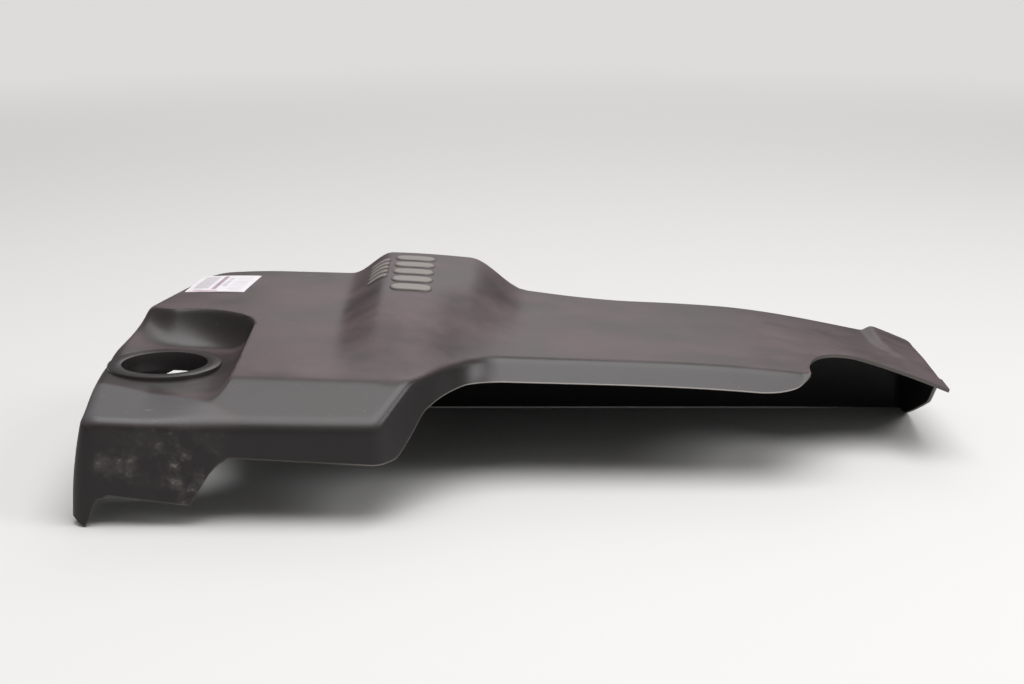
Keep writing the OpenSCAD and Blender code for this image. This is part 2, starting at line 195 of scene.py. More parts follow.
class CoverForm:
    """Outline, heights and wall edges of the moulding in millimetres, worked out on whole arrays."""

    left_lean, near_lean, far_lean, end_lean, lean_span = 12.0, 3.0, 9.0, 2.0, 85.0
    corner_r, far_corner_r, end_corner_r, bare_inset = 10.0, 18.0, 8.0, 2.5
    slant_k, pocket_rx, pocket_ry, pocket_h, pad_flank = 1.57, 64.0, 34.0, 22.0, 44.0
    inner_bend, outer_bend, run_out, skirt_fall = 30.0, 9.0, 40.0, 3.5

    def __init__(self, sizes):
        for name in EngineCoverSizes.__annotations__:
            setattr(self, name, getattr(sizes, name) * MM)
        self.x_left, self.end_x = -self.cover_l / 2, self.cover_l / 2
        self.left_x = self.x_left + self.left_lean
        self.block_y = -self.cover_w / 2 + self.near_lean
        self.far_y = self.cover_w / 2 - self.far_lean
        self.crease_y = self.block_y + self.shoulder_w
        self.tongue_y = self.far_y - self.tongue_w
        self.block_x = self.x_left + self.block_l
        self.tongue_x = self.block_x + (self.tongue_y - self.block_y) / self.slant_k
        self.arch_x = self.end_x - self.arch_l
        self.arch_top_x = self.arch_x + 0.41 * self.arch_l
        self.left_far_x = self.left_x + 46
        self.fall_x = self.tongue_x + 58
        self.filler_x, self.filler_y = self.x_left + 50, self.crease_y + 62
        self.pocket_x, self.pocket_y = self.filler_x - 4, self.filler_y + 30
        self.pad_x0 = self.block_x - 38
        self.pad_x1 = self.pad_x0 + self.pad_w
        self.label_centre = np.array([self.x_left + 74.5, self.far_y - 46])

    def arch(self, x):
        """0 on the tongue, a quarter ellipse up to 1 at the arch's top, then a slow fall to the tip."""
        rise = np.sqrt(np.maximum(0.0, 1 - ((self.arch_top_x - x) / (self.arch_top_x - self.arch_x)) ** 2))
        fall = 1 - 0.53 * (np.maximum(0.0, x - self.arch_top_x) / (self.end_x - self.arch_top_x)) ** 1.2
        return np.where(x <= self.arch_x, 0.0, np.where(x < self.arch_top_x, rise, fall))

    def near_y(self, x):
        """Near outline: block, slanted S wall and tongue joined by soft minima, then the arch."""
        slant = self.block_y + (x - self.block_x) * self.slant_k
        return (
            soft_min(self.tongue_y, -soft_min(-slant, -self.block_y, self.outer_bend), self.inner_bend)
            + self.arch_d * self.arch(x)
            + corner(x - self.left_x, self.corner_r)
        )

    def far_y_at(self, x):
        """Far outline: a straight line with a rounded corner at each end."""
        ends = corner(x - self.left_far_x, self.far_corner_r) + corner(self.end_x - x, self.end_corner_r)
        return self.far_y - ends

    def left_x_at(self, y):
        """Left outline: bulged at the filler, then a slant to the far corner, with rounded ends."""
        bulge = smooth(self.block_y, self.filler_y, y) * (1 - smooth(self.filler_y, self.far_y, y))
        start, span = self.filler_y + 32, self.far_y - self.filler_y - 40
        slant = blurred(lambda t: np.clip((t - start) / span, 0, 1), y, 9.0)
        ends = corner(y - self.block_y, self.corner_r) + corner(self.far_y - y, self.far_corner_r)
        return self.left_x - 5 * bulge + (self.left_far_x - self.left_x) * slant + ends

    def end_x_at(self, y):
        """End outline: straight, with a rounded far corner."""
        return self.end_x - corner(self.far_y - y, self.end_corner_r)

    def crease_z(self, x):
        """Height of the near crease: a slight fall along the length and a cubic fall on the tongue."""
        run = np.maximum(0.0, x - self.fall_x) / (self.end_x - self.fall_x)
        return self.crease_h - 0.027 * x - self.tongue_fall * run**3

    def crown_y(self, x):
        """Where the plateau's rise begins: the near crease or the near outline, whichever is farther."""
        return -soft_min(-self.near_y(np.minimum(x, self.arch_x)), -self.crease_y, self.inner_bend)

    def plateau(self, x, y):
        """A parabola across the cover, from the near crease up to the crown at the far edge."""
        crown_y = self.crown_y(x)
        t = np.clip((y - crown_y) / (self.far_y - crown_y), 0.0, 1.0)
        rise = self.crown_rise * (1 - smooth(self.pad_x0 + 16, self.pad_x1 + 90, x))
        rise += 3.3 * (1 - smooth(self.arch_x - 52, self.arch_top_x + 15, x))
        left = 3.5 * (np.maximum(0.0, self.pad_x0 - 50 - x) / 60) ** 2
        return self.crease_z(x) + rise * t * (2 - t) - left * t

    def pad(self, x, y):
        """The raised pad: a cubic ramp along Y times a flat top with cubic flanks along X."""
        tilt = mix(0.84, 1.1, (x - self.pad_x0) / self.pad_w)
        ramp = smooth(self.crown_y(x) - 6, self.crown_y(x) + 128, y)
        flanks = smooth(self.pad_x0, self.pad_x0 + 0.75 * self.pad_flank, x)
        flanks -= smooth(self.pad_x1 - self.pad_flank, self.pad_x1, x)
        return self.pad_h * tilt * ramp * flanks

    def shoulder(self, x, y):
        """The sloping plane between the near crease and the near skirt."""
        lift = 4 * (np.maximum(0.0, self.block_x - x) / 183) ** 2
        level = 1 - 0.6 * smooth(self.filler_x + 50, self.filler_x - 4, x)
        slope = level * self.shoulder_drop / self.shoulder_w
        return self.crease_h + 5 - self.shoulder_drop + lift + (y - self.block_y) * slope

    def pocket(self, x, y):
        """The scoop: a slightly tilted floor plus a power of the elliptic distance from the filler, steep at
        the right side and the back, gentle towards the left edge."""
        g = smooth(self.filler_x, self.left_x, x)
        dx = np.maximum(0.0, x - self.pocket_x) / self.pocket_rx
        back_y, back_ry = self.pocket_y - 18 * g, self.pocket_ry * (1 + g)
        dy = np.maximum(0.0, y - back_y) / back_ry
        r = np.maximum(0.01, np.hypot(dx, dy))
        rise = r ** (mix(3.0, 1.5, g) + 6 * dx * dx / (r * r))
        return self.floor_h + 0.02 * (self.filler_x - x) + self.pocket_h * rise

    def facet(self, x, y):
        """The low lift of the facet at the tongue's end."""
        line = blurred(lambda t: np.clip((t - 8) / 78, 0.0, 1.0), y, 12)
        s = x - (self.end_x - 43 * line)
        return 5 * smooth(0, 9, s) * np.clip((self.end_x - x) / 32, 0.0, 1.0) * smooth(10, 125, y)

    def top_z(self, x, y):
        """Height of the top: the softened lowest of plateau with pad, shoulder and pocket."""
        top = soft_min(self.plateau(x, y) + self.pad(x, y), self.shoulder(x, y), 3)
        return self.facet(x, y) + soft_min(top, self.pocket(x, y), 3)

    def top_normal(self, x, y):
        """The upward normal of the top from central differences."""
        h = 0.5
        across = self.top_z(x - h, y) - self.top_z(x + h, y)
        along = self.top_z(x, y - h) - self.top_z(x, y + h)
        return unit(np.stack([across, along, np.full_like(across, 2 * h)], -1))

    def near_low(self, x):
        """Lower edge of the near wall: leg, panel, skirt, S wall and flange, with eased corners."""
        d = x - self.left_x
        leg = [(3, 3), (4.5, 0), (6.5, 0), (9, self.panel_gap + 1), (14, self.panel_gap + 4)]
        leg += [(68, self.panel_gap - 3), (70, self.panel_gap - 2), (82, self.skirt_gap - 10)]
        leg += [(88, self.skirt_gap - 3), (96, self.skirt_gap + 2)]
        skirt_end = self.skirt_gap - self.skirt_fall
        leg += [(self.block_l - self.left_lean, skirt_end)]
        block = blurred(lambda t: np.interp(t, *zip(*leg)), d, 0.9)
        part = (x - self.block_x) / (self.tongue_x - self.block_x)
        rise = [(0.16, 0), (0.32, 0.38), (0.42, 0.69), (0.47, 0.75), (0.65, 0.91), (0.8, 1)]
        share_up = blurred(lambda t: np.interp(t, *zip(*rise)), part, 0.035)
        s_wall = mix(skirt_end, self.crease_z(x) - self.flange_drop, share_up)
        flange_end = self.arch_x - self.run_out
        run = (x - flange_end) / self.run_out
        flange = self.crease_z(x) - self.flange_drop * np.sqrt(np.maximum(0.0, 1 - np.maximum(run, 0) ** 2))
        return np.where(x < self.block_x, block, np.where(x < flange_end, s_wall, flange))

    def left_low(self, y):
        """Lower edge of the left wall: low at the near leg, a cut-out, then down to the far leg."""
        cut = 5 + 43 * smooth(self.crease_y + 40, self.crease_y + 140, y)
        return cut * (1 - smooth(self.far_y - 30, self.far_y - 14, y))

    def far_low(self, x):
        """Lower edge of the far wall: leg, cut-out under the label, then just off the floor."""
        cut = 42 * smooth(self.left_far_x + 20, self.left_far_x + 45, x)
        cut *= 1 - smooth(self.block_x - 60, self.block_x, x)
        gap = 0.3 * smooth(self.left_far_x, self.block_x, x) * (1 - smooth(self.arch_x, self.end_x - 20, x))
        return cut + gap

    def end_low(self, y):
        """Lower edge of the end wall: the tip has none, then it falls to the far corner."""
        start = float(self.near_y(self.end_x))
        part = np.clip((y - start) / (self.far_y - 8 - start), 0.0, 1.0)
        top = self.crease_z(self.end_x)
        return mix(top, top * (1 - part) ** 1.1, smooth(0.12, 0.46, part))

    def near_out(self, x, z, top):
        """How far the near wall stands out: a slight lean on the block, a flare on the flange."""
        flare = smooth(self.tongue_x - 30, self.tongue_x + 12, x)
        return mix(self.near_lean * (1 - z / 75), 0.9 * (top - z), flare)

    def left_out(self, z):
        """How far the left wall stands out at a height: a parabola."""
        return self.left_lean * (1 - np.clip(z / self.lean_span, 0, 1) ** 2)

    def far_out(self, z):
        """How far the far wall stands out at a height: a straight lean."""
        return self.far_lean * (1 - np.clip(z / 110, 0, 1))

    def end_out(self, z):
        """How far the end wall draws in at a height."""
        return -self.end_lean * (1 - np.clip(z / 60, 0, 1))


# where a rounded corner's arc runs at 45 degrees, as a share of its radius
CORNER_SHARE = 0.293


def stations(form):
    """Places along the near outline, closer at the corners, the pocket, the S wall and the arch."""
    start = form.left_x + CORNER_SHARE * form.corner_r
    turn = np.radians(np.concatenate([[0], np.arange(14, 90, 5)]))
    arch = form.arch_top_x - (form.arch_top_x - form.arch_x) * np.cos(turn)
    pocket_end, flange_end = form.pocket_x + form.pocket_rx + 8, form.arch_x - form.run_out
    runs = [
        np.linspace(start, form.left_x + 16, 11)[:-1],
        np.linspace(form.left_x + 16, pocket_end, 84)[:-1],
        np.linspace(pocket_end, form.block_x - 14, 22)[:-1],
        np.linspace(form.block_x - 14, form.tongue_x + 14, 40)[:-1],
        np.linspace(form.tongue_x + 14, flange_end, 26)[:-1],
        np.linspace(flange_end, form.arch_x - 3, 12),
        arch,
        np.linspace(form.arch_top_x, form.end_x - 8, 20),
        [form.end_x - CORNER_SHARE * form.end_corner_r],
    ]
    return np.concatenate(runs)


def rows():
    """Shares across the cover, closer at the shoulder and the pocket's back."""
    return np.concatenate(
        [
            np.linspace(0, 0.16, 22)[:-1],
            np.linspace(0.16, 0.48, 28)[:-1],
            np.linspace(0.48, 0.66, 54)[:-1],
            np.linspace(0.66, 0.975, 24)[:-1],
            [0.975, 0.985, 1],
        ]
    )


def outward(points):
    """The outward direction on a closed outline: the tangent of the parabola through each point and its
    neighbours, or their chord where the turn is sharp, turned by a right angle."""
    a, b = points - np.roll(points, 1, 0), np.roll(points, -1, 0) - points
    la, lb = np.linalg.norm(a, axis=1, keepdims=True), np.linalg.norm(b, axis=1, keepdims=True)
    gentle = ((a / la) * (b / lb)).sum(1, keepdims=True) > 0.5
    d = unit(np.where(gentle, a / la * lb + b / lb * la, a + b))
    return np.stack([d[:, 1], -d[:, 0]], 1)


def grid_faces(count_u, count_v, closed=False):
    """Quads of a grid of count_u by count_v points, u slow; closed joins the last u to the first."""
    i = np.arange(count_u if closed else count_u - 1)[:, None]
    j = np.arange(count_v - 1)[None, :]
    k = (i + 1) % count_u
    quads = np.stack([i * count_v + j, k * count_v + j, k * count_v + j + 1, i * count_v + j + 1], -1)
    return quads.reshape(-1, 4)


class MeshParts:
    """Collects point arrays and their faces and makes them one mesh, with a pale share for each point, which
    gives the painted highlight on the lip and the pale faces of the bars.
    """

    def __init__(self):
        self.points, self.faces, self.pale, self.count = [], [], [], 0

    def add(self, points, faces, pale=0.0):
        """Takes points in millimetres and the quads or triangles on them."""
        points = np.asarray(points, float).reshape(-1, 3)
        self.points.append(points)
        self.pale.append(np.broadcast_to(np.ravel(pale), (len(points),)))
        self.faces += (faces + self.count).tolist()
        self.count += len(points)

    def build(self, name, material, sharp=35.0):
        """The mesh object, in metres, smooth but for edges sharper than the angle in degrees."""
        mesh = bpy.data.meshes.new(name)
        mesh.from_pydata((np.concatenate(self.points) / MM).tolist(), [], self.faces)
        mesh.polygons.foreach_set("use_smooth", np.ones(len(mesh.polygons), bool))
        mesh.set_sharp_from_angle(angle=math.radians(sharp))
        mesh.materials.append(material)
        pale = mesh.attributes.new("pale", "FLOAT", "POINT")
        pale.data.foreach_set("value", np.concatenate(self.pale).astype(np.float32))
        mesh.update()
        piece = bpy.data.objects.new(name, mesh)
        bpy.context.scene.collection.objects.link(piece)
        return piece


FILLET_STEPS = np.linspace(0, 1, 9)[1:]
DEPTH_STEPS = np.linspace(0, 1, 9)[1:]
# depth of the rounded lip, and height of the band above it that carries the painted pale highlight
LIP, HIGHLIGHT_BAND = 0.7, 0.9


class CoverSkin:
    """The moulding's two faces: a grid blended between the four sides, walls round it and a lip."""

    def __init__(self, form):
        self.form = form
        self.x, self.w = stations(form), rows()
        self.nx, self.ny = len(self.x) - 1, len(self.w) - 1
        self.outline()
        self.edges()
        self.plan()
        self.walls()

    def outline(self):
        """The outline as a closed loop: near side, end, far side and left side."""
        f, x, w = self.form, self.x, self.w
        left_y = float(f.near_y(x[0])), f.far_y - CORNER_SHARE * f.far_corner_r
        end_y = float(f.near_y(f.end_x)), f.far_y - CORNER_SHARE * f.end_corner_r
        y1, y3 = mix(end_y[0], end_y[1], w[1:]), mix(left_y[0], left_y[1], w[1:-1][::-1])
        u = ((x - x[0]) / (x[-1] - x[0]))[:-1][::-1]
        far_start = float(f.left_x_at(left_y[1]))
        shift = far_start - x[0]
        x2 = mix(x[0], f.end_x, u) + shift * (1 - u) ** 3
        parts = [(x, f.near_y(x)), (f.end_x_at(y1), y1), (x2, f.far_y_at(x2)), (f.left_x_at(y3), y3)]
        self.points = np.concatenate([np.stack(np.broadcast_arrays(a, b), 1) for a, b in parts])
        self.side = np.concatenate([np.full(len(a), k) for k, (a, _) in enumerate(parts)])
        self.normal = outward(self.points)

    def edges(self):
        """Top and low heights, the share of a full wall and the edge radius, all at the outline."""
        f, (x, y), side = self.form, self.points.T, self.side
        low = np.choose(side, [f.near_low(x), f.end_low(y), f.far_low(x), f.left_low(y)])
        self.top = f.top_z(x, y)
        self.low = np.minimum(low, self.top)
        self.full = smooth(1, 10, self.top - self.low)
        along_flange = smooth(f.block_x, f.tongue_x, x) * (1 - smooth(f.arch_x - 20, f.arch_top_x, x))
        along_end = 1 - smooth(f.far_y - 60, f.far_y - 15, y)
        self.edge_r = f.edge_r * (1 - 0.45 * along_flange * (side == NEAR) - 0.5 * along_end * (side == END))
        self.inset = mix(f.bare_inset, self.edge_r, self.full)[:, None]
        self.rim = self.points - self.normal * self.inset

    def plan(self):
        """Coons blend: near to far rows, plus what the left and end sides bend away from a straight line."""
        nx, ny, w = self.nx, self.ny, self.w[None, :, None]
        near, end = self.rim[: nx + 1], self.rim[nx : nx + ny + 1]
        far = self.rim[nx + ny : 2 * nx + ny + 1][::-1]
        left = np.concatenate([self.rim[:1], self.rim[2 * nx + ny :][::-1]])
        u = ((self.x - self.x[0]) / (self.x[-1] - self.x[0]))[:, None, None]
        a = mix(near[:, None], far[:, None], w)
        bend_left = left[None] - mix(left[0], left[-1], w)
        bend_end = end[None] - mix(end[0], end[-1], w)
        self.grid = a + bend_left * (1 - u) ** 6 + bend_end * u**12
        x, y = self.grid[..., 0], self.grid[..., 1]
        self.top_points = np.stack([x, y, self.form.top_z(x, y)], -1)
        self.top_normals = self.form.top_normal(x, y)

    def lean(self, z):
        """How far the wall stands out of the outline at heights z, as plan vectors."""
        f, x, n, side = self.form, self.points[:, 0], self.normal, self.side
        near = f.near_out(x, z, self.top)
        flat = np.choose(side, [near, f.end_out(z), f.far_out(z), f.left_out(z)])[:, None] * n
        rounded = (side == LEFT) | (side == NEAR) & (x < f.left_x + f.corner_r)
        rounded |= (side == FAR) & (x < f.left_far_x + f.far_corner_r)
        out = f.left_out(z)
        bent_x = -np.minimum(out, (x - f.x_left) * out / f.left_lean) * np.sqrt(np.maximum(0, -n[:, 0]))
        near_y = -f.near_out(f.left_x, z, self.top) * np.sqrt(np.maximum(0, -n[:, 1]))
        bent_y = np.where(n[:, 1] < 0, near_y, f.far_out(z) * np.sqrt(np.maximum(0, n[:, 1])))
        return np.where(rounded[:, None], np.stack([bent_x, bent_y], 1), flat)

    def walls(self):
        """Wall rows: a quadratic turn from the rim over the edge, then down the lean, with the last row but
        one close above the lip; with no wall they run out along the top."""
        f, full = self.form, self.full[:, None]
        rim_z = f.top_z(*self.rim.T)
        a = np.concatenate([-self.inset * self.normal, rim_z[:, None]], 1)
        c = np.stack([np.zeros_like(self.top), np.zeros_like(self.top), self.top], 1)
        lip_z = self.low + LIP * self.full
        drop = np.minimum(self.edge_r, (self.top - self.low) * 0.6)
        b = np.concatenate([self.lean(self.top - drop), (self.top - drop)[:, None]], 1)
        flat_steps = np.linspace(0, 1, len(FILLET_STEPS) + len(DEPTH_STEPS) + 1)[1:]
        rows_out = []
        for k, flat in enumerate(flat_steps):
            if k < len(FILLET_STEPS):
                t = FILLET_STEPS[k]
                turn = a * (1 - t) ** 2 + c * 2 * t * (1 - t) + b * t * t
            else:
                z = mix(self.top - drop, lip_z, DEPTH_STEPS[k - len(FILLET_STEPS)])
                if k == len(flat_steps) - 2:
                    z = lip_z + np.minimum(HIGHLIGHT_BAND, 0.12 * (self.top - drop - lip_z))
                turn = np.concatenate([self.lean(z), z[:, None]], 1)
            rows_out.append(mix(mix(a, c, flat), turn, full))
        v = np.stack(rows_out, 1)
        base = np.concatenate([self.points, np.zeros((len(self.points), 1))], 1)[:, None]
        self.wall_points = v + base
        start = np.concatenate([self.rim, rim_z[:, None]], 1)[:, None]
        line = np.concatenate([start, self.wall_points], 1)
        tangent = np.empty_like(line)
        tangent[:, 1:-1] = line[:, 2:] - line[:, :-2]
        tangent[:, 0] = line[:, 1] - line[:, 0]
        tangent[:, -1] = line[:, -1] - line[:, -2]
        along = np.roll(line, -1, 0) - np.roll(line, 1, 0)
        n = unit(np.cross(unit(tangent), unit(along)))
        top_n = f.top_normal(*self.points.T)[:, None]
        n = unit(mix(top_n, n, full[:, None]))[:, 1:]
        n[:, -1, 2] *= 1 - self.full
        self.wall_normals = unit(n)

    def ring_ids(self, points_top):
        """Index of each outline point on the border of the top grid."""
        nx, ny = self.nx, self.ny
        i, j = np.arange(nx + 1), np.arange(ny + 1)
        near, end = i * (ny + 1), nx * (ny + 1) + j
        far, left = i * (ny + 1) + ny, j
        return np.concatenate([near, end[1:], far[:-1][::-1], left[1:-1][::-1]]) + points_top

    def add_to(self, parts, hole_r):
        """Adds outer and inner faces and the rounded lip, which gets a painted pale highlight but for the far
        side; grid cells within hole_r of the filler are left out."""
        f, wall = self.form, self.form.wall
        faces_top = grid_faces(self.nx + 1, self.ny + 1)
        xy = self.grid.reshape(-1, 2)
        centre = xy[faces_top].mean(1) - [f.filler_x, f.filler_y]
        faces_top = faces_top[np.hypot(*centre.T) > hole_r]
        rows_count = self.wall_points.shape[1]
        loop = self.ring_ids(0)
        top_count = len(xy)
        wall_ids = top_count + np.arange(len(loop))[:, None] * rows_count + np.arange(rows_count)[None]
        strip = np.concatenate([loop[:, None], wall_ids], 1)
        nxt = np.roll(strip, -1, 0)
        faces_wall = np.stack([strip[:, :-1], strip[:, 1:], nxt[:, 1:], nxt[:, :-1]], -1).reshape(-1, 4)
        faces = np.concatenate([faces_top, faces_wall])
        outer = np.concatenate([self.top_points.reshape(-1, 3), self.wall_points.reshape(-1, 3)])
        normals = np.concatenate([self.top_normals.reshape(-1, 3), self.wall_normals.reshape(-1, 3)])
        inner = outer - wall * normals
        # painted highlight along the lower lip, weaker on the block and where the wall is short, none on the
        # far side
        lip_highlight = mix(0.35, 1.0, smooth(f.block_x - 40, f.block_x, self.points[:, 0]))
        lip_highlight *= mix(0.45, 1.0, self.full) * (self.side != FAR)
        pale = np.zeros(len(outer))
        pale[wall_ids[:, -1]] = lip_highlight
        parts.add(outer, faces, pale)
        parts.add(inner, faces[:, ::-1])
        last_out = outer[wall_ids[:, -1]]
        last_in = inner[wall_ids[:, -1]]
        mid = (last_out + last_in) / 2
        mid[:, 2] -= LIP * self.full
        lip = np.stack([last_out, mid, last_in], 1)
        parts.add(lip, grid_faces(len(lip), 3, closed=True)[:, ::-1], np.repeat(lip_highlight, 3))


def revolved(profile, centre, count=96):
    """A closed (radius, height) profile turned about a vertical axis, as points and quads."""
    profile = np.array(profile, float)
    angle = np.linspace(0, 2 * np.pi, count, endpoint=False)[:, None]
    x = centre[0] + profile[None, :, 0] * np.cos(angle)
    y = centre[1] + profile[None, :, 0] * np.sin(angle)
    points = np.stack([x, y, np.broadcast_to(profile[:, 1], x.shape)], -1)
    m = len(profile)
    i, j = np.arange(count)[:, None], np.arange(m)[None]
    k, n = (i + 1) % count, (j + 1) % m
    quads = np.stack([i * m + j, k * m + j, k * m + n, i * m + n], -1).reshape(-1, 4)
    return points, quads


def rib(form, a, b, depth):
    """A rib from plan point a to b: a four-cornered section carried along the line under the top."""
    a, b = np.array(a, float), np.array(b, float)
    n = int(np.linalg.norm(b - a) / 5)
    t = np.linspace(0, 1, n + 1)[:, None]
    c = mix(a, b, t)
    side = unit(np.array([a[1] - b[1], b[0] - a[0]])) * form.rib_t / 2
    ends = np.minimum(1, np.minimum(t, 1 - t) * np.linalg.norm(b - a) / 12)[:, 0]
    top = form.top_z(*c.T) - form.wall * 0.6
    low = form.top_z(*c.T) - form.wall - depth * mix(0.3, 1, ends)
    section = [(1, top), (0.85, low), (-0.85, low), (-1, top)]
    points = np.stack([np.concatenate([c + side * s, z[:, None]], 1) for s, z in section], 1)
    i, j = np.arange(n)[:, None], np.arange(4)[None]
    m = (j + 1) % 4
    quads = np.stack([i * 4 + j, i * 4 + 4 + j, i * 4 + 4 + m, i * 4 + m], -1).reshape(-1, 4)
    caps = np.array([[0, 1, 2, 3], [n * 4 + 3, n * 4 + 2, n * 4 + 1, n * 4]])
    return points, np.concatenate([quads, caps])


def socket(form, grommet, count=64):
    """A fixing socket round a packed grommet: an outer and an inner tube under the top, with a flat mouth
    and a closed end."""
    low, high = np.array(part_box(grommet)) * MM
    c, mouth = ((low + high) / 2)[:2], low[2] + form.grommet_rim
    angle = np.linspace(0, 2 * np.pi, count, endpoint=False)
    ring = np.stack([np.cos(angle), np.sin(angle)], 1)
    centre_z = mouth + form.socket_l
    bore = form.grommet_r + form.grommet_fit
    outer = c + ring * form.socket_r
    buried = form.top_z(*outer.T) - form.wall * 0.6
    bore_top = np.full(count, centre_z - form.wall - 3)
    flat = np.full(count, mouth)
    rings = [
        (outer, buried),
        (outer, flat + 0.5),
        (c + ring * (form.socket_r - 0.5), flat),
        (c + ring * bore, flat),
        (c + ring * bore, bore_top),
        (c + ring * 0.2, bore_top),
    ]
    points = np.stack([np.concatenate([p, z[:, None]], 1) for p, z in rings], 1)
    return points, grid_faces(count, len(rings), closed=True)[:, ::-1]


def raised_bar(form, centre, size):
    """A plain bar on the pad: a disc mapped to a rounded oblong, flat on top and steep at its rim."""
    r = np.array([0.0, 0.3, 0.6, 0.8, 0.88, 0.92, 0.96, 1.0])[None, :]
    turn = np.linspace(0, 2 * np.pi, 48, endpoint=False)[:, None]
    c, s = np.cos(turn), np.sin(turn)
    square = 3.2
    reach = (np.abs(c) ** square + np.abs(s) ** square) ** (-1 / square)
    x, y = centre[0] + r * reach * c * size[0] / 2, centre[1] + r * reach * s * size[1] / 2
    lift = 1 - smooth(0.88, 1.0, r) + 0 * c
    sunk = 0.15
    points = np.stack([x, y, form.top_z(x, y) - sunk + (form.bar_h + sunk) * lift], -1)
    return points, grid_faces(48, r.size, closed=True), 0.62 * (lift > 0.7)


def label_sheet(form, count=28):
    """The paper label: a turned rectangle laid on the top, with a thin edge all round."""
    across = np.array([math.cos(LABEL_TURN), -math.sin(LABEL_TURN)]) * form.label_w
    along = np.array([math.sin(LABEL_TURN), math.cos(LABEL_TURN)]) * form.label_d
    s = np.linspace(-0.5, 0.5, count)
    a, b = np.meshgrid(s, s, indexing="ij")
    xy = form.label_centre + a[..., None] * across + b[..., None] * along
    top = form.top_z(xy[..., 0], xy[..., 1])
    upper = np.concatenate([xy, (top + LABEL_LIFT + form.label_t)[..., None]], -1).reshape(-1, 3)
    lower = np.concatenate([xy, (top + LABEL_LIFT)[..., None]], -1).reshape(-1, 3)
    faces = grid_faces(count, count)
    k, last = np.arange(count), count - 1
    sides = [k * count, last * count + k[1:], (k[:-1] * count + last)[::-1], k[1:-1][::-1]]
    around = np.concatenate(sides)
    nxt, n = np.roll(around, -1), count * count
    rim = np.stack([around, around + n, nxt + n, nxt], -1)
    return np.concatenate([upper, lower]), np.concatenate([faces, faces[:, ::-1] + n, rim])


def math_method(operation, swapped=False):
    """A method of Value that adds a Math node to its material."""

    def method(self, other=0.0):
        inputs = [other, self] if swapped else [self, other]
        return self.graph.node("ShaderNodeMath", {"operation": operation}, inputs)

    return method


class Value:
    """A shader socket; arithmetic on it adds Math nodes to its material."""

    def __init__(self, graph, socket):
        self.graph, self.socket = graph, socket

    __add__ = __radd__ = math_method("ADD")
    __mul__ = __rmul__ = math_method("MULTIPLY")
    __sub__, __rsub__ = math_method("SUBTRACT"), math_method("SUBTRACT", swapped=True)
    __truediv__, fraction = math_method("DIVIDE"), math_method("FRACT")
    least, most = math_method("MINIMUM"), math_method("MAXIMUM")

    def step(self, low, high):
        """A smooth step from 0 at low to 1 at high; high may be below low."""
        flip = high < low
        a, b = (high, low) if flip else (low, high)
        span = {"Value": self, "From Min": a, "From Max": b}
        out = self.graph.node("ShaderNodeMapRange", {"interpolation_type": "SMOOTHSTEP"}, span)
        return 1 - out if flip else out


class Graph:
    """One material's node tree."""

    def __init__(self, name, roughness, specular=0.5):
        self.material = bpy.data.materials.new(name)
        self.material.use_nodes = True
        self.tree = self.material.node_tree
        self.shader = self.tree.nodes["Principled BSDF"]
        self.shader.inputs["Roughness"].default_value = roughness
        self.shader.inputs["Specular IOR Level"].default_value = specular
        coords = self.tree.nodes.new("ShaderNodeTexCoord")
        self.place = Value(self, coords.outputs["Object"])
        self.x, self.y, self.z = self.split(self.place)

    def node(self, kind, settings=None, inputs=None, output=0):
        """Adds a node, sets its properties, then fills its sockets with values or links."""
        node = self.tree.nodes.new(kind)
        for key, value in (settings or {}).items():
            setattr(node, key, value)
        items = inputs.items() if isinstance(inputs, dict) else enumerate(inputs or [])
        for key, value in items:
            if isinstance(value, Value):
                self.tree.links.new(value.socket, node.inputs[key])
            else:
                node.inputs[key].default_value = value
        return Value(self, node.outputs[output])

    def split(self, vector):
        """The three parts of a vector."""
        node = self.tree.nodes.new("ShaderNodeSeparateXYZ")
        self.tree.links.new(vector.socket, node.inputs[0])
        return [Value(self, out) for out in node.outputs]

    def noise(self, scale, detail=3.0, rough=0.5, place=None):
        """Fractal noise from 0 to 1 on Object coordinates."""
        inputs = {"Vector": place or self.place, "Scale": scale, "Detail": detail, "Roughness": rough}
        return self.node("ShaderNodeTexNoise", {}, inputs)

    def attribute(self, name):
        """A number stored on the mesh's points."""
        return self.node("ShaderNodeAttribute", {"attribute_name": name}, {}, output=2)

    def stretched(self, x, y, z, turn=(0.0, 0.0, 0.0)):
        """Object coordinates turned and scaled on each axis."""
        inputs = {"Vector": self.place, "Rotation": turn, "Scale": (x, y, z)}
        return self.node("ShaderNodeMapping", {}, inputs)

    def blend(self, a, b, factor):
        """A colour blend; a and b are colours or values that carry one."""
        a, b = (c if isinstance(c, Value) else (*c, 1.0) for c in (a, b))
        return self.node("ShaderNodeMix", {"data_type": "RGBA"}, {0: factor, 6: a, 7: b}, output=2)

    def spot(self, centre, radii):
        """1 at a centre, falling to 0 on an ellipsoid with those radii, all in millimetres."""
        axes = self.x, self.y, self.z
        parts = [(axis - c / MM) / (r / MM) for axis, c, r in zip(axes, centre, radii)]
        d = parts[0] * parts[0] + parts[1] * parts[1] + parts[2] * parts[2]
        return d.step(1.0, 0.15)

    def feed(self, name, value):
        """Links a value to one of the shader's sockets."""
        self.tree.links.new(value.socket, self.shader.inputs[name])

    def bump(self, height, strength, distance):
        """Feeds a height through a Bump node to the shader's normal."""
        inputs = {"Strength": strength, "Distance": distance, "Height": height}
        self.feed("Normal", self.node("ShaderNodeBump", {}, inputs))


